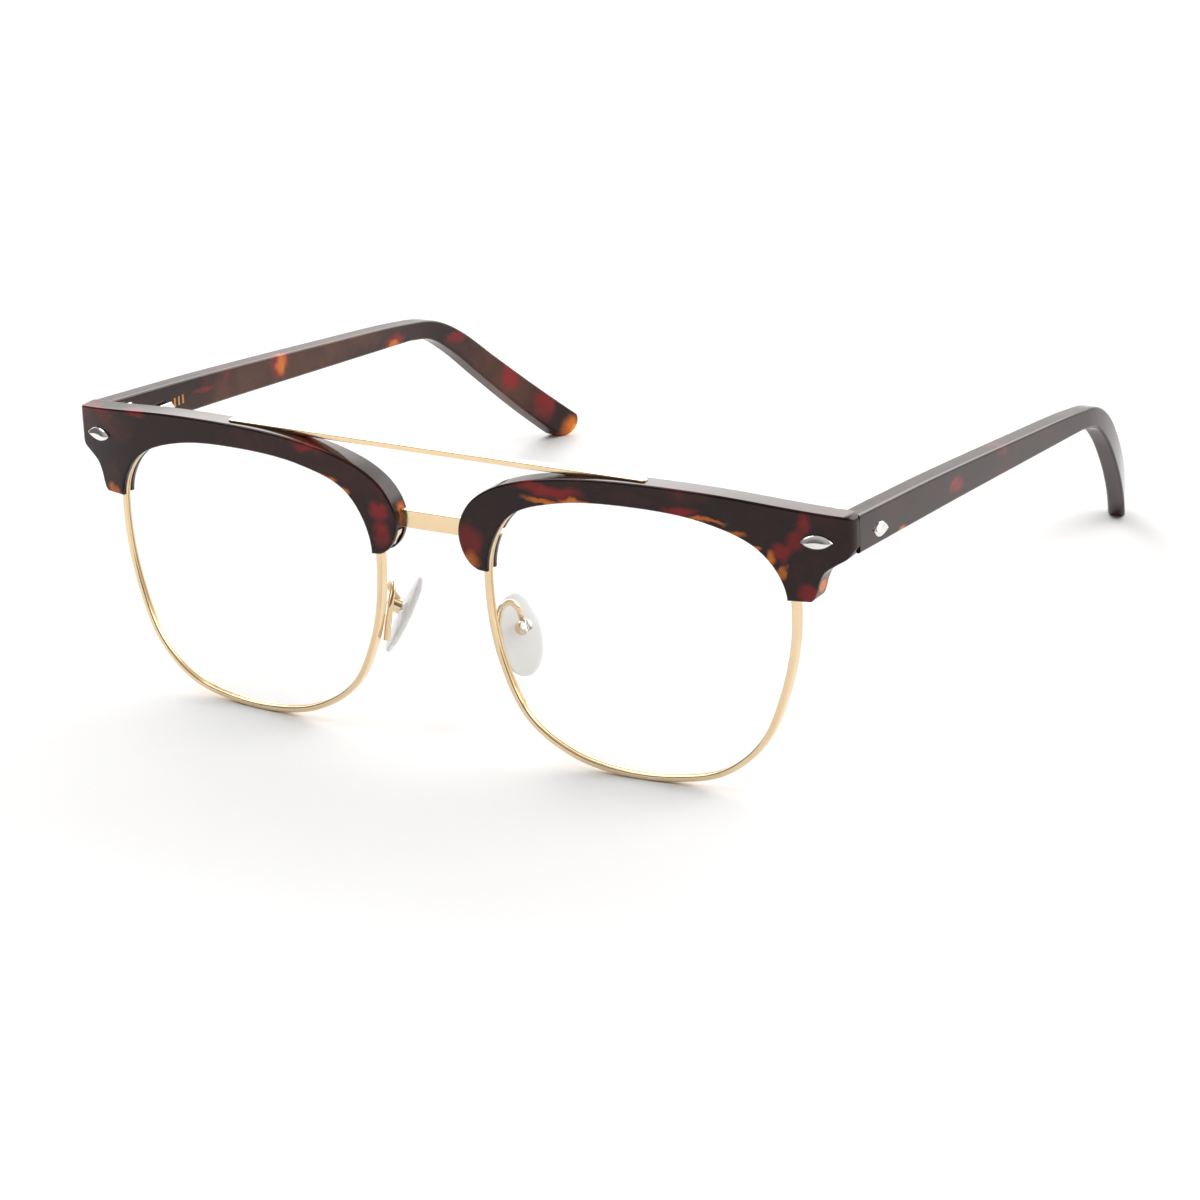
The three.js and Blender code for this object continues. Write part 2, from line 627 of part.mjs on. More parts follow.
function padArm() {
  const { away } = padAxes();
  const profile = [
    [CUP_BORE, 0], [CUP_RADIUS, 0], [CUP_RADIUS, CUP_LENGTH], [CUP_WEB, CUP_LENGTH],
    [CUP_WEB, CUP_MOUTH], [CUP_BORE, CUP_MOUTH], [CUP_BORE, 0],
  ];
  const cup = turned(profile, padPoint(-CUP_RISE, CUP_LOW), away.toArray(), 14);
  const hit = padPoint(-CUP_RISE - CUP_RADIUS * 0.8, CUP_LOW + CUP_LENGTH / 2);
  const clearance = cupRod(CUP_RADIUS - OVERLAP, CUP_LOW, CUP_LOW + CUP_LENGTH);
  const arm = wire([...ARM_ROUTE, hit], ARM_RADIUS, 7, 20).subtract(clearance);
  const foot = wire(ARM_FOOT, ARM_RADIUS * 1.15, 7, 4);
  return cup.add(arm).add(foot).subtract(cupRod(CUP_WEB, CUP_LOW - 1, CUP_LOW + CUP_LENGTH + 1));
}

function padScrew() {
  const seat = CUP_LOW + CUP_LENGTH;
  const head = cupRod(CUP_RADIUS * 0.85, seat + 0.12, seat + 0.6);
  return head.add(cupRod(CUP_WEB - 0.12, seat - 0.6, seat + 0.12 + OVERLAP, 10));
}

// ---- assembly ----

const glasses = new THREE.Group();

function add(name, geometry, material) {
  const mesh = new THREE.Mesh(geometry, material);
  mesh.name = name;
  glasses.add(mesh);
}

function addPair(name, body, material) {
  const right = toGeometry(body);
  add(`${name}_right`, right, material());
  add(`${name}_left`, mirrored(right), material());
}

addPair('brow', brow(), acetate);
addPair('eyewire', eyewire(), gold);
addPair('lens', lens(), clear);
add('lower_bridge', toGeometry(lowerBridge()), gold());
add('top_bar', toGeometry(topBar()), gold());
addPair('rim_lock', rimLock(), gold);
addPair('rim_screw', rimScrew(), steel);
addPair('brow_screw', browScrew(), steel);
addPair('front_rivet', frontRivet(), steel);
addPair('front_hinge', frontHinge(), steel);
addPair('hinge_screw', hingeScrew(), steel);
addPair('temple', temple(), acetate);
addPair('temple_core', templeCore(), steel);
addPair('temple_hinge', templeHinge(), steel);
addPair('temple_rivet', templeRivet(), steel);
addPair('pad_arm', padArm(), gold);
addPair('pad_screw', padScrew(), steel);
addPair('nose_pad', nosePad(), silicone);

// tilt until the rims and the temple tips touch one plane, then stand it on Z = 0
const RIM_BOTTOM = [faceDepth(36), Math.min(...aperture.map((p) => p.y)) - BAND];
const TIP_BOTTOM = [TIP_CENTRE[0], TIP_CENTRE[1] - TIP_RADIUS];
const REST_TILT = -Math.atan2(TIP_BOTTOM[1] - RIM_BOTTOM[1], TIP_BOTTOM[0] - RIM_BOTTOM[0]);
glasses.rotation.x = REST_TILT;
const bounds = new THREE.Box3().setFromObject(glasses, true);
const middle = bounds.getCenter(new THREE.Vector3());
glasses.position.set(-middle.x, -middle.y, -bounds.min.z);

const object = new THREE.Group();
object.add(glasses);

export default object;
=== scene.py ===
"""Half rim (browline) eyeglasses: the visible pieces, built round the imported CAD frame.

Shapes are drawn in the design frame of the front, in millimetres: X to the right of someone
facing the glasses, Y from the front towards the temple tips, Z up, with the origin between
the lenses. to_row() carries them into the row frame, in metres.
"""
import math

import bmesh
import bpy
from mathutils import Matrix, Vector


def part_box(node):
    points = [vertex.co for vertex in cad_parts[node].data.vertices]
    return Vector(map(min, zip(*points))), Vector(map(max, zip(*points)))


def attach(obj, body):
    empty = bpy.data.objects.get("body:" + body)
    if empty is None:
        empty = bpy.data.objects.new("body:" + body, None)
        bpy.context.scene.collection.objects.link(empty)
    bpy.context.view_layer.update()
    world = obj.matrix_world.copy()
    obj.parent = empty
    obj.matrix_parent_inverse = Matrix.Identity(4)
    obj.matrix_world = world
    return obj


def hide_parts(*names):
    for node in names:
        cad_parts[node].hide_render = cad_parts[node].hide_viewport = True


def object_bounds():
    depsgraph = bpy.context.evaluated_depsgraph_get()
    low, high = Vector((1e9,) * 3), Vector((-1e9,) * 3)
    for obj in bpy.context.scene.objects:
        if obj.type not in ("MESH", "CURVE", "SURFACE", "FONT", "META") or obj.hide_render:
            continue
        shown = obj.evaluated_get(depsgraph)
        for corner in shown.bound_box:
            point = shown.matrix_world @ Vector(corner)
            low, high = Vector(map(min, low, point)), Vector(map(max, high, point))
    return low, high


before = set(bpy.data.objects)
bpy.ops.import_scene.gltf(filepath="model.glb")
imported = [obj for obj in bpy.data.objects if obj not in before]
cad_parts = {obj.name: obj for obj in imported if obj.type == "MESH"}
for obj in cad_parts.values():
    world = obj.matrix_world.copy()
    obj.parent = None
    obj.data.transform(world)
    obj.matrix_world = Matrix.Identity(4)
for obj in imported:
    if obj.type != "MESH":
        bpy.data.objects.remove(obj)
cad_low, cad_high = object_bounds()

# ---- the design frame ----

MM = 0.001
REST_TILT = math.radians(-0.952)      # the glasses lean on their rims and temple tips
BRIDGE_LOW, BRIDGE_HIGH, BRIDGE_BACK = 6.45, 9.4, 1.0

TURN = Matrix.Rotation(REST_TILT, 4, "X")
bridge_low, bridge_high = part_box("lower_bridge")
bridge_middle = Vector((0, BRIDGE_BACK / 2, (BRIDGE_LOW + BRIDGE_HIGH) / 2)) * MM
ORIGIN = (bridge_low + bridge_high) / 2 - TURN @ bridge_middle
TO_ROW = Matrix.Translation(ORIGIN) @ TURN @ Matrix.Scale(MM, 4)


def to_row(point):
    return TO_ROW @ Vector(point)


# ---- driving dimensions ----

FACE_FLAT = 10.6             # half width of the front's flat middle
FACE_CURVE = 0.00141         # depth per square millimetre beyond it
WRAP_START = 58              # beyond this half width the end pieces wrap back more sharply
WRAP_CURVE = 0.0076

# the lens opening, in X and Z, anticlockwise from its outer side
APERTURE = [
    (62.0, -1.5), (61.3, 6.0), (57.2, 11.4), (48.5, 14.8), (36.0, 15.9), (24.0, 15.0),
    (15.4, 11.9), (11.3, 5.5), (10.7, -3.0), (12.5, -13.2), (17.0, -22.1), (24.5, -27.0),
    (33.0, -28.75), (42.0, -28.5), (50.0, -26.5), (56.2, -21.2), (60.1, -12.2),
]
RIM_STEPS = 240
BAND = 1.0                   # eyewire thickness across its loop
BAND_HALF = 0.95             # half of the eyewire's depth
BAND_ROUND = 0.28
LENS_SEAT = 0.3              # how far the lens edge reaches into the eyewire
LENS_CENTRE = (36.0, -6.0)
LENS_DOME = 1.1
LENS_THICKNESS = 0.8

FIT = 0.06                   # clearance round a metal piece that is let into the acetate
BROW_HALF = 2.0              # half of the brow's thickness
BROW_ROUND = 0.38
BROW_LIP = 0.05              # how far the brow covers the eyewire's inner edge
GROOVE_HALF = BAND_HALF + 0.1
# the brow's outline after its lens side: round the lobe, along the top and down the leg
LOBE_AND_TOP = [
    (10.6, 1.8), (8.9, 2.0), (7.3, 3.2), (6.2, 5.2), (5.75, 7.8), (6.4, 10.5), (8.4, 13.4),
    (12.0, 15.9), (17.3, 17.8), (23.0, 18.9), (30.0, 19.6), (39.0, 19.8), (50.0, 19.45),
    (60.0, 18.6), (70.4, 17.3),
]
CORNER = (70.5, 16.0)
CORNER_RADIUS = 1.3
LEG_OUTSIDE = [
    (71.8, 12.0), (71.0, 10.6), (69.2, 9.4), (67.6, 8.2), (66.8, 6.6), (66.4, 5.0),
    (66.0, 3.9), (65.5, 3.4),
]
LEG_BOTTOM = 3.4
LOBE_BOTTOM = 1.8
END_OUTER = 71.8
END_RADIUS = 2.4             # rounding of the front into the outer end, seen from above
REAR_NOTCH = ((11.4, 7.3), (14, 8.6))      # cut in the brow's rear lip, in X and Z
# the gold tab that fills the opening in the brow's lobe
TAB = [(10.2, 2.05), (10.6, 6.0), (6.12, 6.0), (6.35, 5.25), (7.42, 3.35), (8.95, 2.2)]
TAB_HALF = 0.7
# ends of the oblique joint between brow and temple, in X and Y
JOINT_INNER = (69.2, 8.3)
JOINT_OUTER = (72.1, 7.1)

BAR_LOW, BAR_HIGH, BAR_FRONT, BAR_BACK, BAR_HALF_LENGTH = 19.2, 20.1, 0.3, 1.9, 38.6

TEMPLE_OUTER = 71.9          # outer face at the front end
TEMPLE_THICKNESS = 3.4
TEMPLE_INNER = TEMPLE_OUTER - TEMPLE_THICKNESS
TEMPLE_ROUND = 0.5
TEMPLE_START = 4.6
TOE_IN = 0.030               # inward slope of the temples
TIP_CURL = 0.0052            # extra inward curl beyond CURL_START
CURL_START = 100
# the temple's outline, in Y and Z: front end, top edge, tip and bottom edge
TEMPLE_FRONT = [(TEMPLE_START, 17.25), (TEMPLE_START, 10.9), (19, 9.6), (44, 7.3)]
TEMPLE_TOP = [
    (19.0, 15.7), (36.0, 13.8), (72.0, 9.2), (98.0, 5.6), (107.0, 3.6), (114.0, -0.2),
    (123.0, -7.7), (133.0, -16.5), (141.2, -23.8),
]
TIP_CENTRE = (138.6, -24.8)
TIP_RADIUS = 2.8
TIP_ARC = (0.30, -2.45)      # from the top edge round to the bottom edge, in radians
TEMPLE_BOTTOM = [
    (136.4, -26.6), (129.0, -19.8), (120.0, -11.3), (111.8, -3.9), (105.5, 0.3), (99.0, 1.9),
]

TEETH_START, TOOTH_PITCH, TOOTH_WIDTH = 26.2, 1.15, 0.5      # along Y

FRONT_RIVET = (66.0, 13.25)                # in X and Z
FRONT_RIVET_HALF = (2.6, 1.15)
TEMPLE_RIVET = (14.6, 12.35)               # in Y and Z
TEMPLE_RIVET_HALF = (2.2, 1.2)
TEMPLE_RIVET_TILT = -0.12
# levels of a rivet's head, from under the surface to its ridge: (length, width, height)
RIVET_LEVELS = [
    (1.0, 1.0, -0.1), (1.0, 1.0, 0.14), (0.97, 0.93, 0.27), (0.90, 0.74, 0.44),
    (0.80, 0.48, 0.60), (0.70, 0.24, 0.70), (0.62, 0.04, 0.75),
]

PAD_CENTRE = Vector((11.0, 7.2, -11.8))
PAD_DOWN = Vector((0.34, -0.34, -0.875)).normalized()
PAD_AWAY = Vector((0.724, -0.498, 0.475))
PAD_AWAY = (PAD_AWAY - PAD_DOWN * PAD_AWAY.dot(PAD_DOWN)).normalized()
PAD_ACROSS = PAD_AWAY.cross(PAD_DOWN).normalized()
PAD_LENGTH = 13.6
PAD_WIDTH = 7.4
PAD_THICKNESS = 1.5
STEM_RADIUS = 0.5
CUP_RISE = 0.9               # how far the cup sits above the middle of the pad
CUP_RADIUS = 1.25
CUP_BORE = 0.95
CUP_MOUTH = 0.9              # depth of the bore
CUP_LOW = PAD_THICKNESS / 2 + 0.45
CUP_LENGTH = 1.7
ARM_RADIUS = 0.5
FOOT_SWELL = 1.12            # the arm is this much thicker where it lies on the rim
FOOT_POINTS = 14
ARM_ROUTE = [
    (11.15, 1.65, -14.2), (10.6, 1.65, -11.0), (10.2, 2.1, -7.9), (10.4, 3.4, -5.6),
    (11.2, 4.6, -5.3), (12.2, 5.1, -6.4),
]

SIDES = (("right", 1), ("left", -1))


def face_depth(x):
    curve = FACE_CURVE * max(0, abs(x) - FACE_FLAT) ** 2
    return curve + WRAP_CURVE * max(0, abs(x) - WRAP_START) ** 2


def face_slope(x):
    return 2 * FACE_CURVE * max(0, x - FACE_FLAT) + 2 * WRAP_CURVE * max(0, x - WRAP_START)


def end_setback(x):
    """How far the rounding of the brow's outer end sets back the front face at x."""
    slope = math.atan(face_slope(END_OUTER - END_RADIUS * 0.7))
    start = END_OUTER - END_RADIUS * (1 - math.sin(slope))
    if x <= start:
        return 0.0
    middle = face_depth(start) - BROW_HALF + END_RADIUS * math.cos(slope)
    reach = min(x - (END_OUTER - END_RADIUS), END_RADIUS)
    round_depth = middle - math.sqrt(END_RADIUS ** 2 - reach ** 2)
    return max(0.0, round_depth - face_depth(x) + BROW_HALF)


def temple_shift(y):
    return -TOE_IN * (y - TEMPLE_START) - TIP_CURL * max(0, y - CURL_START) ** 2


def pad_point(down, away, across=0.0):
    return PAD_CENTRE + PAD_DOWN * down + PAD_AWAY * away + PAD_ACROSS * across


# ---- curves ----

def catmull_span(p0, p1, p2, p3, share):
    """A point on the centripetal Catmull-Rom span from p1 to p2."""
    knots = [0.0]
    for a, b in ((p0, p1), (p1, p2), (p2, p3)):
        knots.append(knots[-1] + math.sqrt((b - a).length))
    t0, t1, t2, t3 = knots
    t = t1 + (t2 - t1) * share
    a1 = p0.lerp(p1, (t - t0) / (t1 - t0))
    a2 = p1.lerp(p2, (t - t1) / (t2 - t1))
    a3 = p2.lerp(p3, (t - t2) / (t3 - t2))
    b1 = a1.lerp(a2, (t - t0) / (t2 - t0))
    b2 = a2.lerp(a3, (t - t1) / (t3 - t1))
    return b1.lerp(b2, (t - t1) / (t2 - t1))


def smooth(points, closed=False, steps=12):
    """Points on a smooth curve through the given points."""
    points = [Vector(p) for p in points]
    count = len(points)
    if closed:
        around = [points[-1], *points, points[0], points[1]]
        spans = count
    else:
        around = [points[0] * 2 - points[1], *points, points[-1] * 2 - points[-2]]
        spans = count - 1
    curve = []
    for i in range(spans):
        for k in range(steps):
            curve.append(catmull_span(*around[i:i + 4], k / steps))
    return curve if closed else [*curve, points[-1]]


def spaced(points, count):
    """count points at equal distances round a closed curve."""
    ring = [*points, points[0]]
    reach = [0.0]
    for a, b in zip(ring, ring[1:]):
        reach.append(reach[-1] + (b - a).length)
    result, k = [], 0
    for i in range(count):
        goal = reach[-1] * i / count
        while reach[k + 1] < goal:
            k += 1
        result.append(ring[k].lerp(ring[k + 1], (goal - reach[k]) / (reach[k + 1] - reach[k])))
    return result


def arc(centre, radius, start, end, steps):
    angles = [start + (end - start) * i / steps for i in range(steps + 1)]
    return [Vector((centre[0] + radius * math.cos(a), centre[1] + radius * math.sin(a)))
            for a in angles]


def outward(outline, i):
    """The outward direction at a corner of an anticlockwise outline, long enough for a mitre."""
    count = len(outline)
    before = (outline[i] - outline[i - 1]).normalized()
    after = (outline[(i + 1) % count] - outline[i]).normalized()
    normal = Vector((before.y + after.y, -before.x - after.x)).normalized()
    reach = max(0.6, normal.dot(Vector((after.y, -after.x))))
    return normal / reach


def offset(outline, distance):
    return [p + outward(outline, i) * distance for i, p in enumerate(outline)]


aperture = spaced(smooth(APERTURE, closed=True), RIM_STEPS)


def grown(distance):
    """The lens opening's outline, grown outwards by distance."""
    return offset(aperture, distance)


# ---- mesh building, in design millimetres ----

def in_front(u, v, depth):
    """Outline in X and Z, depth in Y, following the face form."""
    return Vector((u, depth + face_depth(u), v))


def brow_front(u, v, depth):
    """The same, with the outer end rounded back."""
    share = (BROW_HALF - depth) / (2 * BROW_HALF)
    return Vector((u, depth + face_depth(u) + end_setback(u) * share, v))


def flat_front(u, v, depth):
    return Vector((u, depth, v))


def beside(u, v, depth):
    """Outline in Y and Z, depth in X, following the temple's toe-in and curl."""
    return Vector((depth + temple_shift(u), u, v))


def lying(u, v, depth):
    """Outline in X and Y, depth in Z."""
    return Vector((u, v, depth))


def anticlockwise(outline):
    ring = [*outline, outline[0]]
    area = sum(a.x * b.y - b.x * a.y for a, b in zip(ring, ring[1:]))
    return outline if area > 0 else list(reversed(outline))


def plate(outline, low, high, rounding, place, strips=(), segments=4):
    """A plate with rounded edges: outline is drawn flat, and place(u, v, depth) puts each point.
    The flat faces are first cut across at each u in strips, so that the plate can curve."""
    bm = bmesh.new()
    outline = anticlockwise(outline)
    rings = []
    for k in range(segments + 1):
        angle = math.pi / 2 * k / segments
        rings.append((rounding * (1 - math.sin(angle)), low + rounding * (1 - math.cos(angle))))
    rings += [(inset, low + high - depth) for inset, depth in reversed(rings)]
    loops = []
    for inset, depth in rings:
        loops.append([bm.verts.new((p.x, p.y, depth)) for p in offset(outline, -inset)])
    count = len(outline)
    for a, b in zip(loops, loops[1:]):
        for i in range(count):
            j = (i + 1) % count
            bm.faces.new((a[i], a[j], b[j], b[i]))
    bm.faces.new(list(reversed(loops[0])))
    bm.faces.new(loops[-1])
    for u in strips:
        geometry = [*bm.verts, *bm.edges, *bm.faces]
        bmesh.ops.bisect_plane(bm, geom=geometry, plane_co=(u, 0, 0), plane_no=(1, 0, 0))
    for v in bm.verts:
        v.co = place(*v.co)
    bmesh.ops.remove_doubles(bm, verts=bm.verts, dist=1e-5)
    bmesh.ops.recalc_face_normals(bm, faces=bm.faces)
    return bm


def ring_plate(outer, inner, low, high, place):
    """A flat ring between two outlines with the same number of points."""
    bm = bmesh.new()
    loops = []
    for outline, depth in ((outer, low), (outer, high), (inner, high), (inner, low)):
        loops.append([bm.verts.new(place(p.x, p.y, depth)) for p in outline])
    count = len(outer)
    for k in range(4):
        a, b = loops[k], loops[(k + 1) % 4]
        for i in range(count):
            j = (i + 1) % count
            bm.faces.new((a[i], a[j], b[j], b[i]))
    bmesh.ops.recalc_face_normals(bm, faces=bm.faces)
    return bm


def block(low, high):
    bm = bmesh.new()
    bmesh.ops.create_cube(bm, size=1)
    middle, size = (Vector(low) + Vector(high)) / 2, Vector(high) - Vector(low)
    for v in bm.verts:
        v.co = Vector(a * b for a, b in zip(v.co, size)) + middle
    return bm


def basis(direction):
    """Two directions square to a third."""
    across = direction.cross(Vector((0.3, 0.1, 1.0))).normalized()
    return across, direction.cross(across).normalized()


def turned(profile, start, direction, sides=48):
    """A turned piece from (radius, height) pairs that start and end on the axis."""
    bm = bmesh.new()
    direction = Vector(direction).normalized()
    across, up = basis(direction)
    start = Vector(start)
    loops = []
    for radius, height in profile:
        centre = start + direction * height
        if radius == 0:
            loops.append([bm.verts.new(centre)])
            continue
        loop = []
        for i in range(sides):
            a = 2 * math.pi * i / sides
            loop.append(bm.verts.new(centre + (across * math.cos(a) + up * math.sin(a)) * radius))
        loops.append(loop)
    for a, b in zip(loops, loops[1:]):
        for i in range(sides):
            j = (i + 1) % sides
            if len(a) == 1:
                bm.faces.new((a[0], b[j], b[i]))
            elif len(b) == 1:
                bm.faces.new((a[i], a[j], b[0]))
            else:
                bm.faces.new((a[i], a[j], b[j], b[i]))
    bmesh.ops.recalc_face_normals(bm, faces=bm.faces)
    return bm


def rounded_rod(radius, rounding, length, start, direction, sides=40):
    """A round bar with rounded ends."""
    profile = [(0, 0)]
    for k in range(4):
        a = math.pi / 2 * k / 3
        profile.append((radius - rounding * (1 - math.sin(a)), rounding * (1 - math.cos(a))))
    profile += [(r, length - h) for r, h in reversed(profile)]
    return turned(profile, start, direction, sides)


def tube(route, radii, sides=20):
    """A round wire along a smooth route, with a radius at each of its points."""
    bm = bmesh.new()
    loops = []
    tangent = (route[1] - route[0]).normalized()
    across, _ = basis(tangent)
    for i, point in enumerate(route):
        before, after = route[max(i - 1, 0)], route[min(i + 1, len(route) - 1)]
        tangent = (after - before).normalized()
        across = (across - tangent * across.dot(tangent)).normalized()
        up = tangent.cross(across)
        loop = []
        for k in range(sides):
            a = 2 * math.pi * k / sides
            spoke = across * math.cos(a) + up * math.sin(a)
            loop.append(bm.verts.new(point + spoke * radii[i]))
        loops.append(loop)
    for a, b in zip(loops, loops[1:]):
        for i in range(sides):
            j = (i + 1) % sides
            bm.faces.new((a[i], a[j], b[j], b[i]))
    bm.faces.new(list(reversed(loops[0])))
    bm.faces.new(loops[-1])
    bmesh.ops.recalc_face_normals(bm, faces=bm.faces)
    return bm


def thing(name, bm):
    """An object that holds a finished bmesh."""
    mesh = bpy.data.meshes.new(name)
    bm.to_mesh(mesh)
    bm.free()
    made = bpy.data.objects.new(name, mesh)
    bpy.context.scene.collection.objects.link(made)
    return made


def combined(base, tools, operation):
    """base with each bmesh in tools cut away from it or joined to it."""
    target = thing("work", base)
    helpers = []
    for tool in tools:
        helper = thing("tool", tool)
        modifier = target.modifiers.new("combine", "BOOLEAN")
        modifier.operation = operation
        modifier.object = helper
        modifier.solver = "MANIFOLD"
        helpers.append(helper)
    depsgraph = bpy.context.evaluated_depsgraph_get()
    bm = bmesh.new()
    bm.from_mesh(target.evaluated_get(depsgraph).to_mesh())
    for used in (target, *helpers):
        bpy.data.objects.remove(used)
    return bm


def without(base, *tools):
    return combined(base, tools, "DIFFERENCE")


def joined(base, *tools):
    return combined(base, tools, "UNION")


def show(name, bm, body, material, nodes=(), sharp=30):
    """Puts a piece into the row frame, gives it its material and lets it ride on its body."""
    bmesh.ops.remove_doubles(bm, verts=bm.verts, dist=1e-4)
    bm.transform(TO_ROW)
    bmesh.ops.recalc_face_normals(bm, faces=bm.faces)
    for face in bm.faces:
        face.smooth = True
    piece = thing(name, bm)
    piece.data.set_sharp_from_angle(angle=math.radians(sharp))
    weighted = piece.modifiers.new("weighted normals", "WEIGHTED_NORMAL")
    weighted.keep_sharp = True
    piece.data.materials.append(material)
    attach(piece, body)
    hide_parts(*nodes)


def show_pair(name, bm, body, material, cad_name=None, sharp=30):
    """The right piece and its mirror image. {} in body stands for the side."""
    for side, sign in SIDES:
        copy = bm.copy()
        for v in copy.verts:
            v.co.x *= sign
        nodes = (f"{cad_name}_{side}",) if cad_name else ()
        show(f"{name}_{side}", copy, body.format(side), material, nodes, sharp)
    bm.free()


# ---- material helpers ----

def new_material(name):
    material = bpy.data.materials.new(name)
    material.use_nodes = True
    return material, material.node_tree, material.node_tree.nodes["Principled BSDF"]


def node(tree, kind, inputs, **settings):
    made = tree.nodes.new(kind)
    for key, value in settings.items():
        setattr(made, key, value)
    for key, value in inputs.items():
        if isinstance(value, bpy.types.NodeSocket):
            tree.links.new(value, made.inputs[key])
        else:
            made.inputs[key].default_value = value
    return made


def place_in_object(tree):
    return node(tree, "ShaderNodeTexCoord", {}).outputs["Object"]


def noise(tree, where, scale, detail=3.0, distortion=0.0):
    inputs = {"Vector": where, "Scale": scale, "Detail": detail, "Distortion": distortion}
    return node(tree, "ShaderNodeTexNoise", inputs)


def ramp(tree, value, low, high, to_low=0.0, to_high=1.0):
    inputs = {"Value": value, "From Min": low, "From Max": high,
              "To Min": to_low, "To Max": to_high}
    made = node(tree, "ShaderNodeMapRange", inputs, interpolation_type="SMOOTHSTEP")
    return made.outputs["Result"]


def mixed(tree, share, first, second):
    """Two colours mixed: on a colour Mix node they are inputs 6 and 7, and output 2 is the mix."""
    made = tree.nodes.new("ShaderNodeMix")
    made.data_type = "RGBA"
    for index, value in ((0, share), (6, first), (7, second)):
        if isinstance(value, bpy.types.NodeSocket):
            tree.links.new(value, made.inputs[index])
        else:
            made.inputs[index].default_value = value
    return made.outputs[2]


def bumped(tree, shader, height, strength, distance):
    inputs = {"Height": height, "Strength": strength, "Distance": distance}
    bump = node(tree, "ShaderNodeBump", inputs)
    tree.links.new(bump.outputs["Normal"], shader.inputs["Normal"])


# ---- tortoiseshell ----

BLACK_BROWN = (0.0190, 0.0034, 0.0032, 1)
WARM_BROWN = (0.042, 0.0085, 0.0055, 1)
UMBER = (0.080, 0.028, 0.015, 1)
DEEP_RED = (0.225, 0.0065, 0.0070, 1)
AMBER = (0.62, 0.155, 0.014, 1)
HONEY = (0.95, 0.46, 0.08, 1)

# clouds and painted edge glow: (centre in X and Z on the brows' face, half size in X and Z,
# colour); the thin amber strips along the lens-side edge are painted glow of light shining through
# the thin acetate edge, the rest is the tortoiseshell's own pattern
BROW_CLOUDS_AND_EDGE_GLOW = [
    ((22.5, 17.0), (6.5, 1.4), DEEP_RED),
    # painted glow: amber strip along the lens-side edge, where light shines through the thin
    # acetate
    ((22.6, 14.9), (5.0, 0.6), AMBER),
    ((27.0, 15.7), (2.6, 0.5), AMBER),
    ((37.0, 17.2), (4.0, 1.2), WARM_BROWN),
    ((45.0, 16.2), (3.6, 1.0), DEEP_RED),
    ((7.8, 6.4), (2.6, 3.6), DEEP_RED),
    ((8.0, 3.3), (2.2, 1.5), AMBER),
    # painted glow: amber strips along the lens-side edge, where light shines through the thin
    # acetate
    ((49.5, 15.0), (3.2, 0.5), AMBER),
    ((53.6, 13.5), (2.2, 0.6), AMBER),
    ((56.6, 11.7), (1.5, 0.5), AMBER),
    ((64.6, 16.2), (1.7, 2.0), DEEP_RED),
    ((63.2, 13.6), (1.7, 2.2), DEEP_RED),
    ((61.4, 11.4), (1.7, 1.6), DEEP_RED),
    ((59.7, 10.2), (0.9, 1.3), AMBER),
    ((61.4, 8.4), (0.7, 1.3), AMBER),
    ((65.0, 4.6), (2.0, 1.4), DEEP_RED),
    ((-22.7, 18.0), (1.6, 0.9), DEEP_RED),
    ((-58.0, 18.4), (2.2, 0.7), DEEP_RED),
    # painted glow: amber strips along the lens-side edge, where light shines through the thin
    # acetate
    ((-18.2, 13.2), (1.9, 0.7), AMBER),
    ((-15.6, 11.6), (1.7, 0.8), AMBER),
    ((-20.0, 15.0), (3.0, 1.3), WARM_BROWN),
    ((-8.6, 9.4), (1.9, 1.6), DEEP_RED),
    ((-8.3, 5.6), (1.7, 2.6), DEEP_RED),
    ((-63.6, 4.2), (1.7, 1.0), AMBER),
    ((-63.8, 6.8), (2.2, 2.2), WARM_BROWN),
]
# the same on the temples and the brows' sides: (centre, half size, colour), in X, Y and Z
TEMPLE_CLOUDS = [
    ((-66.0, 62.0, 8.6), (3.2, 48.0, 6.5), UMBER),
    ((-61.0, 124.0, -9.0), (5.0, 22.0, 16.0), UMBER),
    ((-5.9, 0.4, 8.2), (1.0, 1.7, 2.4), AMBER),
    ((66.9, 5.4, 5.6), (0.9, 1.8, 1.5), AMBER),
    ((71.3, 22.8, 8.9), (2.0, 2.2, 1.2), AMBER),
    ((70.0, 44.0, 10.0), (2.0, 3.0, 1.5), DEEP_RED),
    ((69.0, 63.0, 9.6), (2.0, 2.6, 1.1), DEEP_RED),
    ((-67.2, 57.5, 9.8), (2.0, 2.8, 3.2), DEEP_RED),
    ((-67.2, 57.8, 9.4), (1.6, 1.7, 2.4), AMBER),
    ((-67.5, 35.0, 11.6), (1.5, 3.6, 0.6), DEEP_RED),
    ((-66.0, 93.3, 3.4), (2.0, 3.6, 1.5), DEEP_RED),
    ((-66.0, 92.8, 2.9), (2.0, 1.8, 0.9), AMBER),
    ((-65.0, 113.0, -1.0), (2.0, 3.4, 1.8), DEEP_RED),
    ((-62.0, 126.0, -12.0), (4.0, 2.6, 3.4), DEEP_RED),
    ((-59.5, 134.0, -20.0), (4.0, 2.8, 4.2), DEEP_RED),
    ((-57.5, 140.0, -26.4), (5.0, 3.4, 3.0), AMBER),
    ((-57.0, 141.2, -27.4), (4.0, 2.2, 1.6), HONEY),
]


def clouds_and_edge_glow():
    for (x, z), (half_x, half_z), colour in BROW_CLOUDS_AND_EDGE_GLOW:
        yield (x, face_depth(x) - BROW_HALF, z), (half_x, 3.0, half_z), colour
    yield from TEMPLE_CLOUDS


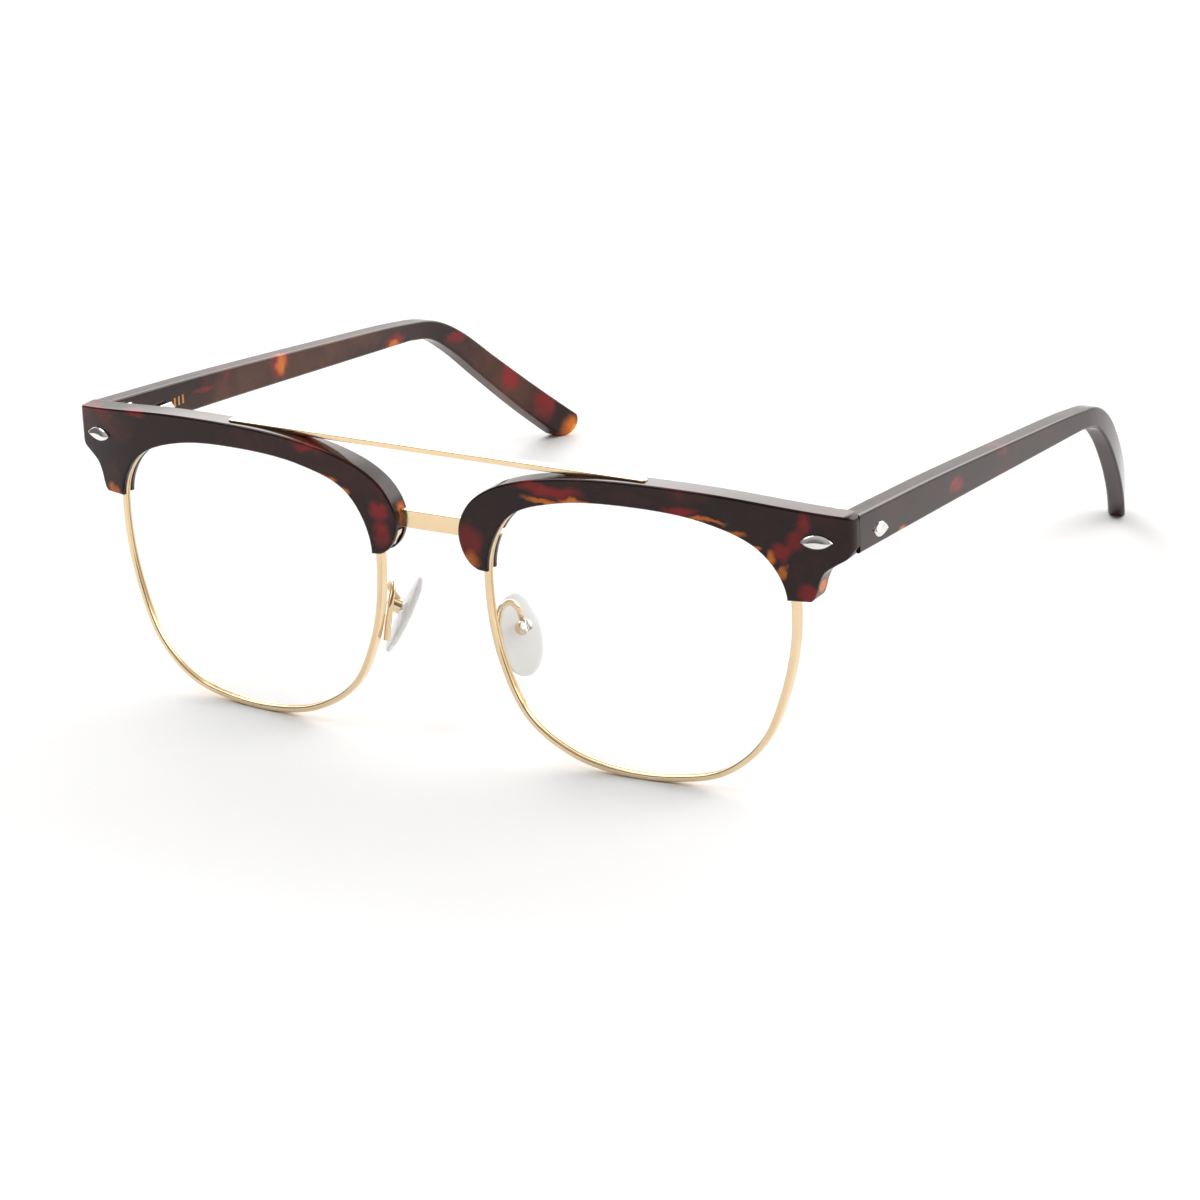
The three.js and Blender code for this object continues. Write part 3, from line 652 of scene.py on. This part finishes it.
def tortoiseshell():
    """Polished acetate: near black, with deep red and amber clouds that fade into it, and thin
    amber strips of painted glow along the brows' lens-side edges.
    """
    material, tree, shader = new_material("tortoiseshell_acetate")
    where = place_in_object(tree)
    wander = noise(tree, where, 210.0, 4.0, 0.6)
    drift = node(tree, "ShaderNodeVectorMath", {0: wander.outputs["Color"], 1: (0.5, 0.5, 0.5)},
                 operation="SUBTRACT")
    drift = node(tree, "ShaderNodeVectorMath", {0: drift.outputs[0], "Scale": 0.0034},
                 operation="SCALE")
    warped = node(tree, "ShaderNodeVectorMath", {0: where, 1: drift.outputs[0]}, operation="ADD")
    warped = warped.outputs[0]
    broad = noise(tree, warped, 62.0, 3.0, 0.8).outputs["Fac"]
    fine = noise(tree, warped, 150.0, 4.0, 0.4).outputs["Fac"]
    colour = mixed(tree, ramp(tree, broad, 0.50, 0.66), BLACK_BROWN, WARM_BROWN)
    colour = mixed(tree, ramp(tree, broad, 0.62, 0.74, 0.0, 0.7), colour, DEEP_RED)
    for centre, half, tint in clouds_and_edge_glow():
        away = node(tree, "ShaderNodeVectorMath", {0: warped, 1: to_row(centre)},
                    operation="SUBTRACT")
        scale = tuple(1 / (h * MM) for h in half)
        away = node(tree, "ShaderNodeVectorMath", {0: away.outputs[0], 1: scale},
                    operation="MULTIPLY")
        length = node(tree, "ShaderNodeVectorMath", {0: away.outputs[0]}, operation="LENGTH")
        share = ramp(tree, length.outputs["Value"], 1.2, 0.4, 0.0, 0.97)
        colour = mixed(tree, share, colour, tint)
    shade = ramp(tree, fine, 0.3, 0.7, 0.70, 1.15)
    colour = node(tree, "ShaderNodeVectorMath", {0: colour, "Scale": shade}, operation="SCALE")
    tree.links.new(colour.outputs[0], shader.inputs["Base Color"])
    gloss = ramp(tree, noise(tree, where, 420.0, 5.0).outputs["Fac"], 0.3, 0.75, 0.08, 0.15)
    tree.links.new(gloss, shader.inputs["Roughness"])
    bumped(tree, shader, noise(tree, where, 95.0, 2.0).outputs["Fac"], 0.08, 0.0003)
    shader.inputs["IOR"].default_value = 1.34
    return material


# ---- metals ----

def metal(name, colour, tint, roughness, grain):
    """Plated metal with faint uneven tint and fine polishing marks."""
    material, tree, shader = new_material(name)
    where = place_in_object(tree)
    uneven = noise(tree, where, 260.0, 4.0).outputs["Fac"]
    tree.links.new(mixed(tree, ramp(tree, uneven, 0.35, 0.7), colour, tint),
                   shader.inputs["Base Color"])
    marks = noise(tree, where, grain, 3.0).outputs["Fac"]
    tree.links.new(ramp(tree, marks, 0.3, 0.7, roughness * 0.85, roughness * 1.15),
                   shader.inputs["Roughness"])
    bumped(tree, shader, marks, 0.012, 0.00002)
    shader.inputs["Metallic"].default_value = 1.0
    return material


# ---- clear pieces ----

def clear_lens():
    material, tree, shader = new_material("clear_lens")
    where = place_in_object(tree)
    faint = noise(tree, where, 40.0, 2.0).outputs["Fac"]
    tree.links.new(ramp(tree, faint, 0.3, 0.7, 0.0, 0.012), shader.inputs["Roughness"])
    shader.inputs["Base Color"].default_value = (0.985, 0.992, 0.99, 1)
    shader.inputs["Transmission Weight"].default_value = 1.0
    shader.inputs["IOR"].default_value = 1.5
    return material


def silicone():
    material, tree, shader = new_material("clear_silicone")
    where = place_in_object(tree)
    cloudy = noise(tree, where, 300.0, 2.0).outputs["Fac"]
    tree.links.new(mixed(tree, ramp(tree, cloudy, 0.35, 0.7), (0.97, 0.97, 0.965, 1),
                         (0.94, 0.94, 0.935, 1)), shader.inputs["Base Color"])
    tree.links.new(ramp(tree, cloudy, 0.3, 0.7, 0.20, 0.26), shader.inputs["Roughness"])
    shader.inputs["Transmission Weight"].default_value = 0.5
    shader.inputs["IOR"].default_value = 1.41
    return material


TORTOISE = tortoiseshell()
GOLD = metal("pale_gold", (0.80, 0.62, 0.40, 1), (0.77, 0.59, 0.37, 1), 0.17, 900.0)
SILVER = metal("polished_steel", (0.80, 0.78, 0.76, 1), (0.75, 0.73, 0.71, 1), 0.09, 1200.0)
# orange gold of the core wire seen through the acetate, which also carries painted glow of light
# shining through the acetate
CORE_GOLD_AND_GLOW = metal("gold_and_painted_glow_under_acetate", (0.50, 0.24, 0.08, 1), (0.35, 0.15, 0.05, 1), 0.30, 900.0)
LENS = clear_lens()
SILICONE = silicone()


# ---- the front ----

def behind_joint(gap):
    """Everything behind the oblique joint between brow and temple."""
    inner, outer = Vector(JOINT_INNER), Vector(JOINT_OUTER)
    along = (outer - inner).normalized()
    back = Vector((-along.y, along.x))
    reach, depth, low, high = 15, 80, -18, 42
    bm = block((-reach, gap, low), (reach, gap + depth, high))
    for v in bm.verts:
        x, y = inner + along * v.co.x + back * v.co.y
        v.co.x, v.co.y = x, y
    return bm


def brow_outline():
    lens_side = [p for p in grown(-BROW_LIP)
                 if p.y > (LEG_BOTTOM if p.x > LENS_CENTRE[0] else LOBE_BOTTOM) + 0.15]
    lens_side = [Vector((lens_side[0].x, LEG_BOTTOM)), *lens_side]
    lens_side.append(Vector((lens_side[-1].x, LOBE_BOTTOM)))
    top = smooth(LOBE_AND_TOP, steps=8)
    corner = arc(CORNER, CORNER_RADIUS, math.pi / 2, 0, 6)
    leg = smooth(LEG_OUTSIDE, steps=6)
    return [*lens_side, *top, *corner, *leg]


def bar_outline(spare):
    middle, half = (BAR_FRONT + BAR_BACK) / 2, (BAR_BACK - BAR_FRONT) / 2 + spare
    straight = BAR_HALF_LENGTH - (BAR_BACK - BAR_FRONT) / 2
    right = arc((straight, middle), half, -math.pi / 2, math.pi / 2, 12)
    left = arc((-straight, middle), half, math.pi / 2, 1.5 * math.pi, 12)
    return [*right, *left]


def brow():
    strips = [6.5 + 1.5 * i for i in range(42)]
    for i in range(1, 13):               # closer together round the outer end
        share = math.sin(math.pi / 2 * (0.25 + 0.06 * i))
        strips.append(END_OUTER - END_RADIUS * (1 - share))
    blank = plate(brow_outline(), -BROW_HALF, BROW_HALF, BROW_ROUND, brow_front, strips)
    (notch_left, notch_low), (notch_right, notch_high) = REAR_NOTCH
    cuts = [
        behind_joint(0),
        block((notch_left, GROOVE_HALF - 0.1, notch_low), (notch_right, 4, notch_high)),
        ring_plate(grown(BAND + 0.08), grown(-4), -GROOVE_HALF, GROOVE_HALF, in_front),
        block((0, -GROOVE_HALF, 0), (FACE_FLAT, GROOVE_HALF, BRIDGE_LOW)),
        block((0, -FIT, BRIDGE_LOW - FIT), (12, BRIDGE_BACK + FIT, BRIDGE_HIGH + FIT)),
        plate(bar_outline(FIT), BAR_LOW - FIT, BAR_HIGH + 3, 0.01, lying, segments=1),
    ]
    return without(blank, *cuts)


def eyewire():
    """The rim: a flat band with rounded edges and a groove inside for the lens."""
    groove, groove_half = LENS_SEAT + 0.1, 0.3
    outer, inner, side = BAND - BAND_ROUND, BAND_ROUND, BAND_HALF - BAND_ROUND
    profile = []
    for quarter, corner in enumerate(((outer, side), (inner, side), (inner, -side),
                                      (outer, -side))):
        if quarter == 2:
            profile += [Vector((0, LENS_THICKNESS / 2)), Vector((groove, groove_half)),
                        Vector((groove, -groove_half)), Vector((0, -LENS_THICKNESS / 2))]
        start = quarter * math.pi / 2
        profile += arc(corner, BAND_ROUND, start, start + math.pi / 2, 4)
    bm = bmesh.new()
    loops = []
    for corner in profile:
        loop = [bm.verts.new(in_front(p.x, p.y, corner.y)) for p in grown(corner.x)]
        loops.append(loop)
    for k, loop in enumerate(loops):
        after = loops[(k + 1) % len(loops)]
        for i in range(RIM_STEPS):
            j = (i + 1) % RIM_STEPS
            bm.faces.new((loop[i], loop[j], after[j], after[i]))
    bmesh.ops.recalc_face_normals(bm, faces=bm.faces)
    tab = plate([Vector(p) for p in TAB], -TAB_HALF, TAB_HALF, 0.12, in_front, segments=2)
    return joined(bm, tab)


def lens():
    """A thin meniscus: both faces are domed towards the front."""
    edge = grown(LENS_SEAT)
    centre = Vector(LENS_CENTRE)
    rings = 14
    bm = bmesh.new()
    faces = []
    for side in (-1, 1):
        loops = [[bm.verts.new(in_front(*centre, side * LENS_THICKNESS / 2 - LENS_DOME))]]
        for k in range(1, rings + 1):
            share = k / rings
            depth = side * LENS_THICKNESS / 2 - LENS_DOME * (1 - share ** 2)
            points = [centre.lerp(p, share) for p in edge]
            loops.append([bm.verts.new(in_front(p.x, p.y, depth)) for p in points])
        faces.append(loops)
        for a, b in zip(loops, loops[1:]):
            for i in range(RIM_STEPS):
                j = (i + 1) % RIM_STEPS
                corners = (a[0], b[i], b[j]) if len(a) == 1 else (a[i], b[i], b[j], a[j])
                bm.faces.new(corners)
    front, back = faces[0][-1], faces[1][-1]
    for i in range(RIM_STEPS):
        j = (i + 1) % RIM_STEPS
        bm.faces.new((front[i], front[j], back[j], back[i]))
    bmesh.ops.recalc_face_normals(bm, faces=bm.faces)
    return bm


def lower_bridge():
    """The flat strap, whose ends follow the outside of both rims."""
    rim = [p for p in grown(BAND - 0.1)
           if BRIDGE_LOW < p.y < BRIDGE_HIGH and p.x < LENS_CENTRE[0]]
    rim = sorted(rim, key=lambda p: p.y)
    right = [Vector((rim[0].x, BRIDGE_LOW)), *rim, Vector((rim[-1].x, BRIDGE_HIGH))]
    left = [Vector((-p.x, p.y)) for p in reversed(right)]
    return plate([*right, *left], 0, BRIDGE_BACK, 0.12, flat_front, segments=3)


def top_bar():
    return plate(bar_outline(0), BAR_LOW, BAR_HIGH, 0.12, lying, segments=3)


def ridged_rivet(half_length, half_height):
    """A polished rivet head: an almond that domes up to a ridge along its middle."""
    bm = bmesh.new()
    steps = 18
    outline = []
    for sign in (1, -1):
        for i in range(steps):
            t = -math.cos(math.pi * i / steps)
            outline.append((sign * t * half_length, -sign * half_height * (1 - t * t) ** 0.8))
    loops = []
    for along, across, height in RIVET_LEVELS:
        loops.append([bm.verts.new((u * along, v * across, height)) for u, v in outline])
    count = len(outline)
    for a, b in zip(loops, loops[1:]):
        for i in range(count):
            j = (i + 1) % count
            bm.faces.new((a[i], a[j], b[j], b[i]))
    bm.faces.new(list(reversed(loops[0])))
    bm.faces.new(loops[-1])
    return bm


def front_rivet():
    x, z = FRONT_RIVET
    bm = ridged_rivet(*FRONT_RIVET_HALF)
    slope = math.atan(face_slope(x))
    along = Vector((math.cos(slope), math.sin(slope), 0))
    out = Vector((math.sin(slope), -math.cos(slope), 0))
    centre = Vector((x, face_depth(x), z)) + out * BROW_HALF
    for v in bm.verts:
        v.co = centre + along * v.co.x + Vector((0, 0, 1)) * v.co.y + out * v.co.z
    bmesh.ops.recalc_face_normals(bm, faces=bm.faces)
    return bm


def temple_rivet():
    y, z = TEMPLE_RIVET
    bm = ridged_rivet(*TEMPLE_RIVET_HALF)
    cosine, sine = math.cos(TEMPLE_RIVET_TILT), math.sin(TEMPLE_RIVET_TILT)
    centre = Vector((TEMPLE_OUTER + temple_shift(y), y, z))
    for v in bm.verts:
        u, w, out = v.co
        along = u * cosine - w * sine
        up = u * sine + w * cosine
        v.co = centre + Vector((out, along, up))
    bmesh.ops.recalc_face_normals(bm, faces=bm.faces)
    return bm


# ---- temples ----

def temple_outline():
    top = smooth(TEMPLE_TOP, steps=8)
    tip = arc(TIP_CENTRE, TIP_RADIUS, *TIP_ARC, 16)
    bottom = smooth(TEMPLE_BOTTOM, steps=8)
    front = [Vector(p) for p in TEMPLE_FRONT]
    return [*front[1:], *reversed(bottom), *reversed(tip), *reversed(top), front[0]]


def temple():
    """The plate of the temple, with its front end cut off along the joint."""
    strips = [6 + 2 * i for i in range(68)]
    blank = plate(temple_outline(), TEMPLE_INNER, TEMPLE_OUTER, TEMPLE_ROUND, beside, strips)
    ahead = without(block((60, -20, -5), (80, 13, 30)), behind_joint(FIT))
    return without(blank, ahead)


def core_teeth_and_glow():
    """The notched end of the core wire behind the hinge, as orange bars: partly the wire showing
    through the acetate, partly painted glow of light shining through the acetate between the hinge
    plate and the teeth.
    """
    teeth = []
    for i in range(3):
        near = TEETH_START + i * TOOTH_PITCH
        far = near + TOOTH_WIDTH
        outline = [Vector(p) for p in ((near, 10.7), (far, 10.65), (far, 12.2), (near, 12.25))]
        teeth.append(plate(outline, TEMPLE_INNER - 0.03, TEMPLE_INNER + 0.2, 0.02, beside))
    return joined(teeth[0], *teeth[1:])


# ---- nose pads ----

def nose_pad():
    """A soft oval cushion with full round edges, and the stem that stands in the cup."""
    rings, sides = 18, 72
    bm = bmesh.new()
    faces = []
    for side in (-1, 1):
        loops = []
        for k in range(rings + 1):
            share = math.sin(math.pi / 2 * k / rings)
            crown = math.cos(math.pi / 2 * k / rings) ** 0.55
            away = side * PAD_THICKNESS / 2 * crown
            if k == 0:
                loops.append([bm.verts.new(pad_point(0, away))])
                continue
            loop = []
            for i in range(sides):
                a = 2 * math.pi * i / sides
                down = math.cos(a) * share * PAD_LENGTH / 2
                across = math.sin(a) * share * PAD_WIDTH / 2 * (1 + 0.07 * math.cos(a))
                loop.append(bm.verts.new(pad_point(down, away, across)))
            loops.append(loop)
        faces.append(loops)
        for a, b in zip(loops, loops[1:]):
            for i in range(sides):
                j = (i + 1) % sides
                corners = (a[0], b[i], b[j]) if len(a) == 1 else (a[i], b[i], b[j], a[j])
                bm.faces.new(corners)
    bmesh.ops.remove_doubles(bm, verts=bm.verts, dist=1e-4)
    bmesh.ops.recalc_face_normals(bm, faces=bm.faces)
    stem = rounded_rod(STEM_RADIUS, 0.1, 1.6, pad_point(-CUP_RISE, 0.1), PAD_AWAY)
    return joined(bm, stem)


def pad_arm():
    """The bent wire, its flattened foot on the rim, and the cup for the pad's stem."""
    seat = pad_point(-CUP_RISE, CUP_LOW)
    hit = pad_point(-CUP_RISE - CUP_RADIUS * 0.8, CUP_LOW + CUP_LENGTH / 2)
    route = smooth([*ARM_ROUTE, hit], steps=10)
    radii = [ARM_RADIUS * (FOOT_SWELL if i < FOOT_POINTS else 1.0) for i in range(len(route))]
    cup = turned([
        (0, CUP_MOUTH), (CUP_BORE, CUP_MOUTH), (CUP_BORE, 0.06), (CUP_BORE + 0.06, 0),
        (CUP_RADIUS - 0.1, 0), (CUP_RADIUS, 0.1), (CUP_RADIUS, CUP_LENGTH - 0.15),
        (CUP_RADIUS - 0.15, CUP_LENGTH), (0, CUP_LENGTH)], seat, PAD_AWAY)
    hollow = turned([(0, -2), (CUP_BORE, -2), (CUP_BORE, CUP_MOUTH), (0, CUP_MOUTH)],
                    seat, PAD_AWAY)
    return joined(cup, without(tube(route, radii), hollow))


def pad_screw():
    """The round screw head behind the cup, with its slot."""
    seat = pad_point(-CUP_RISE, CUP_LOW + CUP_LENGTH + 0.05)
    head = rounded_rod(CUP_RADIUS * 0.86, 0.12, 0.5, seat, PAD_AWAY)
    slot = block((-2, -0.16, 0.3), (2, 0.16, 2))
    for v in slot.verts:
        v.co = seat + PAD_DOWN * v.co.x + PAD_ACROSS * v.co.y + PAD_AWAY * v.co.z
    return without(head, slot)


show_pair("brow_acetate", brow(), "front", TORTOISE, "brow")
show_pair("rim", eyewire(), "front", GOLD, "eyewire")
show_pair("lens_glass", lens(), "front", LENS, "lens")
show("bridge_strap", lower_bridge(), "front", GOLD, ("lower_bridge",))
show("bridge_bar", top_bar(), "front", GOLD, ("top_bar",))
show_pair("brow_rivet", front_rivet(), "front", SILVER, "front_rivet", 24)
show_pair("temple_acetate", temple(), "temple_{}", TORTOISE, "temple")
show_pair("temple_stud", temple_rivet(), "temple_{}", SILVER, "temple_rivet", 24)
show_pair("core_teeth_and_glow", core_teeth_and_glow(), "temple_{}", CORE_GOLD_AND_GLOW)
show_pair("pad_cushion", nose_pad(), "nose_pad_{}", SILICONE, "nose_pad", 60)
show_pair("pad_wire", pad_arm(), "front", GOLD, "pad_arm")
show_pair("pad_disc", pad_screw(), "front", SILVER, "pad_screw")

# the CAD nodes that nothing replaces: hinges, screws, rim locks and core wires
for name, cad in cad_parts.items():
    if cad.hide_render:
        continue
    kind = name.rsplit("_", 1)[0]
    cad.data.materials.clear()
    cad.data.materials.append(GOLD if kind == "rim_lock" else SILVER)


# ---- floor, light and camera ----

def floor():
    material, tree, shader = new_material("floor_white")
    where = place_in_object(tree)
    tone = mixed(tree, noise(tree, where, 3.0).outputs["Fac"], (0.945, 0.95, 0.955, 1),
                 (0.96, 0.965, 0.97, 1))
    tree.links.new(tone, shader.inputs["Base Color"])
    shader.inputs["Roughness"].default_value = 0.9
    shader.inputs["Specular IOR Level"].default_value = 0.0
    bm = bmesh.new()
    bmesh.ops.create_grid(bm, x_segments=2, y_segments=2, size=6)
    made = thing("floor", bm)
    made.data.materials.append(material)


def studio():
    """A dim room with a broad, low, bright screen behind the glasses."""
    world = bpy.data.worlds.new("studio")
    world.use_nodes = True
    bpy.context.scene.world = world
    tree = world.node_tree
    direction = node(tree, "ShaderNodeTexCoord", {}).outputs["Generated"]
    split = node(tree, "ShaderNodeSeparateXYZ", {"Vector": direction})
    behind = ramp(tree, split.outputs["Y"], 0.1, 0.6)
    rising = ramp(tree, split.outputs["Z"], 0.12, 0.32, 1.0, 4.2)
    low = ramp(tree, split.outputs["Z"], 0.75, 0.5)
    screen = node(tree, "ShaderNodeMath", {0: behind, 1: low}, operation="MULTIPLY")
    screen = node(tree, "ShaderNodeMath", {0: screen.outputs[0], 1: rising}, operation="MULTIPLY")
    overhead = ramp(tree, split.outputs["Z"], 0.3, 0.95, 0.16, 0.6)
    total = node(tree, "ShaderNodeMath", {0: screen.outputs[0], 1: overhead}, operation="ADD")
    tree.links.new(total.outputs[0], tree.nodes["Background"].inputs["Strength"])
    tree.nodes["Background"].inputs["Color"].default_value = (1.0, 0.985, 0.965, 1)


def area_light(name, place, aim, size, power):
    """A round soft light at place that faces aim, in metres and watts."""
    light = bpy.data.lights.new(name, "AREA")
    light.shape = "DISK"
    light.size = size
    light.energy = power
    lamp = bpy.data.objects.new(name, light)
    lamp.location = place
    lamp.rotation_mode = "QUATERNION"
    lamp.rotation_quaternion = (Vector(aim) - Vector(place)).to_track_quat("-Z", "Y")
    bpy.context.scene.collection.objects.link(lamp)


# the photograph's viewpoint, in the design frame
CAMERA_PLACE = (336.868, -525.694, 228.427)
CAMERA_RIGHT = Vector((0.870180718, 0.491265623, -0.037994809))
CAMERA_DOWN = Vector((0.142272867, -0.324336048, -0.935181565))
CAMERA_FORWARD = Vector((-0.471745640, 0.808371336, -0.352124744))
CAMERA_LENS = 125.25


def camera():
    data = bpy.data.cameras.new("camera")
    data.lens = CAMERA_LENS
    data.sensor_width = 36
    data.clip_start, data.clip_end = 0.01, 20
    made = bpy.data.objects.new("camera", data)
    bpy.context.scene.collection.objects.link(made)
    turn = Matrix((CAMERA_RIGHT, -CAMERA_DOWN, -CAMERA_FORWARD)).transposed()
    made.matrix_world = Matrix.Translation(to_row(CAMERA_PLACE)) @ TURN @ turn.to_4x4()
    bpy.context.scene.camera = made


floor()
studio()
centre = (cad_low + cad_high) / 2
area_light("key", centre + Vector((-0.5, -0.1, 0.9)), centre, 0.6, 3.0)
area_light("fill", centre + Vector((0.9, 0.3, 0.6)), centre, 0.8, 2.0)
camera()
bpy.context.scene.view_settings.view_transform = "Standard"
